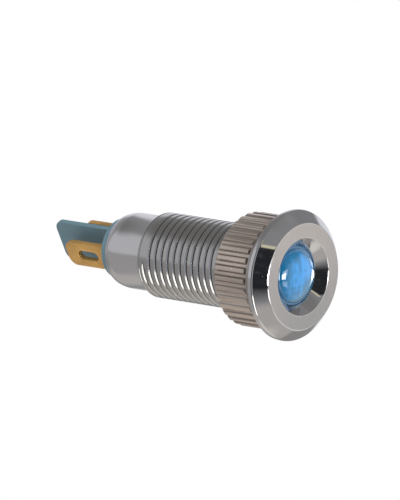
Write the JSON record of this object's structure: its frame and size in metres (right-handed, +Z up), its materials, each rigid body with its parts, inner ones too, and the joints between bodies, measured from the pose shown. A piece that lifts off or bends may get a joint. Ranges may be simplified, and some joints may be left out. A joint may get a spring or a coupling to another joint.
{
  "type": "panel pilot light",
  "caption": "Metal panel indicator with a bevelled bezel round a recessed blue lens, threaded barrel, knurled nut and solder lugs.",
  "frame": {"origin": "centre of the bezel's rear face, where it seats on the panel", "axes": "+Y along the barrel from the bezel to the solder lugs, +Z up"},
  "size_m": [0.0122, 0.0296, 0.0122],
  "materials": {
    "chrome": "bright chrome on turned brass, satin on the front ring",
    "black_rubber": "matt",
    "blue_lens": "clear blue, glossy",
    "clear_seal": "translucent silicone",
    "clear_epoxy": "water clear",
    "tinned_steel": "tinned",
    "chip": "matt",
    "gold_plate": "gold plated, dull",
    "white_nylon": "moulded",
    "sleeve_film": "thin tube",
    "board": "glass-filled board",
    "resistor_enamel": "enamel",
    "diode_glass": "amber glass",
    "solder": "bright tin",
    "blue_grey_plastic": "moulded, satin",
    "washer_steel": "nickel plated",
    "plated_nut": "nickel plated, satin, warm grey"
  },
  "bodies": {
    "lamp": {"body": "chrome", "panel_seal": "black_rubber", "lens": "blue_lens", "lens_seal": "clear_seal", "led_bulb": "clear_epoxy", "led_anode": "tinned_steel", "led_cathode": "tinned_steel", "led_chip": "chip", "led_bond_wire": "gold_plate", "led_holder": "white_nylon", "insulating_sleeve": "sleeve_film", "circuit_disc": "board", "series_resistor": "resistor_enamel", "resistor_leads": "tinned_steel", "protection_diode": "diode_glass", "diode_leads": "tinned_steel", "solder_joints": "solder", "insulator": "blue_grey_plastic", "terminal_positive": "gold_plate", "terminal_negative": "gold_plate"},
    "washer": {"lock_washer": "washer_steel"},
    "knurled_nut": {"nut": "plated_nut"}
  },
  "joints": [
    {"name": "washer_travel", "type": "slide", "parent": "lamp", "child": "washer", "axis": [0, 1, 0], "range_m": [0, 0.0285]},
    {"name": "nut_turn", "type": "hinge", "parent": "washer", "child": "knurled_nut", "pos_m": [0, 0, 0], "axis": [0, 1, 0], "range_deg": [0, 13680]}
  ],
  "couplings": [
    {"joint": "nut_turn", "follows": "washer_travel", "rad_per_m": 8377.6}
  ]
}
